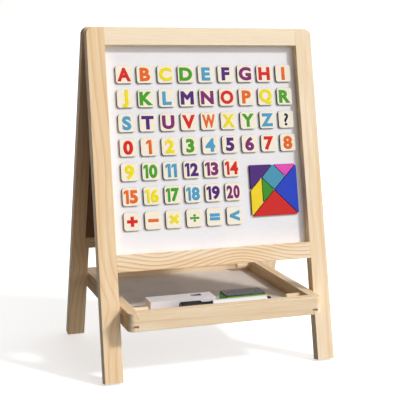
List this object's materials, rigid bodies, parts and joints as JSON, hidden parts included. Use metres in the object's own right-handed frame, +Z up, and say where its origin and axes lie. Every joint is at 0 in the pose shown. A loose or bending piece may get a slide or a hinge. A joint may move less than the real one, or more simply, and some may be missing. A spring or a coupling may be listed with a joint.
{
  "type": "kids easel",
  "caption": "Table-top wooden easel: two hinged frames with a white board and a black board, a pegged tray, magnetic letter tiles, a shape puzzle, chalk, a marker and an eraser.",
  "frame": {"origin": "on the floor, midway between the front and rear feet and between left and right", "axes": "+X to the easel's right as seen from the front, -Y to the front (white board side), +Z up"},
  "size_m": [0.35, 0.2646, 0.4874],
  "materials": {
    "frame_pine": "satin clear lacquer",
    "tray_pine": "satin clear lacquer",
    "peg_pine": "plain sanded",
    "hidden_dowel": "plain",
    "white_board": "glossy white dry-wipe coat on hardboard",
    "black_board": "matt blackboard paint on hardboard",
    "tray_panel": "white painted hardboard",
    "hinge_steel": "zinc plated",
    "screw_steel": "zinc plated",
    "tile_cream": "cream face on dark magnet sheet",
    "puzzle_red": "painted",
    "puzzle_blue": "painted",
    "puzzle_purple": "painted",
    "puzzle_cyan": "painted",
    "puzzle_pink": "painted",
    "puzzle_green": "painted",
    "puzzle_yellow": "painted",
    "white_card": "coated white card",
    "chalk": "dusty chalk",
    "marker_white": "moulded",
    "marker_black": "moulded",
    "marker_tip": "felt",
    "eraser_green": "moulded",
    "eraser_felt_grey": "pressed felt"
  },
  "bodies": {
    "front_frame": {"front_left_stile": "frame_pine", "front_right_stile": "frame_pine", "front_top_rail": "frame_pine", "front_bottom_rail": "frame_pine", "front_dowels": "hidden_dowel", "front_hinge_screws": "screw_steel", "whiteboard": "white_board", "left_hinge_front_leaf": "hinge_steel", "right_hinge_front_leaf": "hinge_steel", "left_hinge_pin": "hinge_steel", "right_hinge_pin": "hinge_steel"},
    "rear_frame": {"rear_left_stile": "frame_pine", "rear_right_stile": "frame_pine", "rear_top_rail": "frame_pine", "rear_bottom_rail": "frame_pine", "rear_dowels": "hidden_dowel", "rear_hinge_screws": "screw_steel", "blackboard": "black_board", "left_hinge_rear_leaf": "hinge_steel", "right_hinge_rear_leaf": "hinge_steel"},
    "tray": {"tray_front_bar": "tray_pine", "tray_rear_bar": "tray_pine", "tray_left_bar": "tray_pine", "tray_right_bar": "tray_pine", "tray_floor": "tray_panel"},
    "front_left_peg": {"front_left_peg": "peg_pine"},
    "front_right_peg": {"front_right_peg": "peg_pine"},
    "rear_left_peg": {"rear_left_peg": "peg_pine"},
    "rear_right_peg": {"rear_right_peg": "peg_pine"},
    "chalk": {"chalk_box": "white_card", "chalk_sticks": "chalk"},
    "eraser": {"eraser_body": "eraser_green", "eraser_felt": "eraser_felt_grey"},
    "marker": {"marker_barrel": "marker_white", "marker_collar": "marker_black", "marker_nib": "marker_tip", "marker_end_plug": "marker_black"},
    "marker_cap": {"marker_cap": "marker_black"},
    "tiles_a_to_i": {"tiles_a_to_i": "tile_cream"},
    "tiles_j_to_r": {"tiles_j_to_r": "tile_cream"},
    "tiles_s_to_z": {"tiles_s_to_z": "tile_cream"},
    "tiles_0_to_8": {"tiles_0_to_8": "tile_cream"},
    "tiles_9_to_14": {"tiles_9_to_14": "tile_cream"},
    "tiles_15_to_20": {"tiles_15_to_20": "tile_cream"},
    "tiles_signs": {"tiles_signs": "tile_cream"},
    "puzzle_red_large_triangle": {"puzzle_red_large_triangle": "puzzle_red"},
    "puzzle_blue_large_triangle": {"puzzle_blue_large_triangle": "puzzle_blue"},
    "puzzle_purple_triangle": {"puzzle_purple_triangle": "puzzle_purple"},
    "puzzle_cyan_square": {"puzzle_cyan_square": "puzzle_cyan"},
    "puzzle_pink_small_triangle": {"puzzle_pink_small_triangle": "puzzle_pink"},
    "puzzle_green_small_triangle": {"puzzle_green_small_triangle": "puzzle_green"},
    "puzzle_yellow_parallelogram": {"puzzle_yellow_parallelogram": "puzzle_yellow"}
  },
  "joints": [
    {"name": "frame_fold", "type": "hinge", "parent": "front_frame", "child": "rear_frame", "pos_m": [0, 0, 0.48088], "axis": [-1, 0, 0], "range_deg": [0, 25.6]},
    {"name": "tray_swing", "type": "hinge", "parent": "front_frame", "child": "tray", "pos_m": [0, -0.09713, 0.09445], "axis": [-1, 0, 0], "range_deg": [0, 77.2]},
    {"name": "front_left_peg_pull", "type": "slide", "parent": "tray", "child": "front_left_peg", "axis": [1, 0, 0], "range_m": [0, 0.025]},
    {"name": "front_right_peg_pull", "type": "slide", "parent": "tray", "child": "front_right_peg", "axis": [-1, 0, 0], "range_m": [0, 0.025]},
    {"name": "rear_left_peg_pull", "type": "slide", "parent": "tray", "child": "rear_left_peg", "axis": [1, 0, 0], "range_m": [0, 0.025]},
    {"name": "rear_right_peg_pull", "type": "slide", "parent": "tray", "child": "rear_right_peg", "axis": [-1, 0, 0], "range_m": [0, 0.025]},
    {"name": "chalk_lift", "type": "slide", "parent": "tray", "child": "chalk", "axis": [0, 0, 1], "range_m": [0, 0.03]},
    {"name": "eraser_lift", "type": "slide", "parent": "tray", "child": "eraser", "axis": [0, 0, 1], "range_m": [0, 0.03]},
    {"name": "marker_lift", "type": "slide", "parent": "tray", "child": "marker", "axis": [0, 0, 1], "range_m": [0, 0.04]},
    {"name": "cap_pull", "type": "slide", "parent": "marker", "child": "marker_cap", "axis": [-1, 0, 0], "range_m": [0, 0.03]},
    {"name": "tiles_a_to_i_lift", "type": "slide", "parent": "front_frame", "child": "tiles_a_to_i", "axis": [0, -0.9751, 0.2215], "range_m": [0, 0.03]},
    {"name": "tiles_j_to_r_lift", "type": "slide", "parent": "front_frame", "child": "tiles_j_to_r", "axis": [0, -0.9751, 0.2215], "range_m": [0, 0.03]},
    {"name": "tiles_s_to_z_lift", "type": "slide", "parent": "front_frame", "child": "tiles_s_to_z", "axis": [0, -0.9751, 0.2215], "range_m": [0, 0.03]},
    {"name": "tiles_0_to_8_lift", "type": "slide", "parent": "front_frame", "child": "tiles_0_to_8", "axis": [0, -0.9751, 0.2215], "range_m": [0, 0.03]},
    {"name": "tiles_9_to_14_lift", "type": "slide", "parent": "front_frame", "child": "tiles_9_to_14", "axis": [0, -0.9751, 0.2215], "range_m": [0, 0.03]},
    {"name": "tiles_15_to_20_lift", "type": "slide", "parent": "front_frame", "child": "tiles_15_to_20", "axis": [0, -0.9751, 0.2215], "range_m": [0, 0.03]},
    {"name": "tiles_signs_lift", "type": "slide", "parent": "front_frame", "child": "tiles_signs", "axis": [0, -0.9751, 0.2215], "range_m": [0, 0.03]},
    {"name": "puzzle_red_large_triangle_lift", "type": "slide", "parent": "front_frame", "child": "puzzle_red_large_triangle", "axis": [0, -0.9751, 0.2215], "range_m": [0, 0.03]},
    {"name": "puzzle_blue_large_triangle_lift", "type": "slide", "parent": "front_frame", "child": "puzzle_blue_large_triangle", "axis": [0, -0.9751, 0.2215], "range_m": [0, 0.03]},
    {"name": "puzzle_purple_triangle_lift", "type": "slide", "parent": "front_frame", "child": "puzzle_purple_triangle", "axis": [0, -0.9751, 0.2215], "range_m": [0, 0.03]},
    {"name": "puzzle_cyan_square_lift", "type": "slide", "parent": "front_frame", "child": "puzzle_cyan_square", "axis": [0, -0.9751, 0.2215], "range_m": [0, 0.03]},
    {"name": "puzzle_pink_small_triangle_lift", "type": "slide", "parent": "front_frame", "child": "puzzle_pink_small_triangle", "axis": [0, -0.9751, 0.2215], "range_m": [0, 0.03]},
    {"name": "puzzle_green_small_triangle_lift", "type": "slide", "parent": "front_frame", "child": "puzzle_green_small_triangle", "axis": [0, -0.9751, 0.2215], "range_m": [0, 0.03]},
    {"name": "puzzle_yellow_parallelogram_lift", "type": "slide", "parent": "front_frame", "child": "puzzle_yellow_parallelogram", "axis": [0, -0.9751, 0.2215], "range_m": [0, 0.03]}
  ]
}
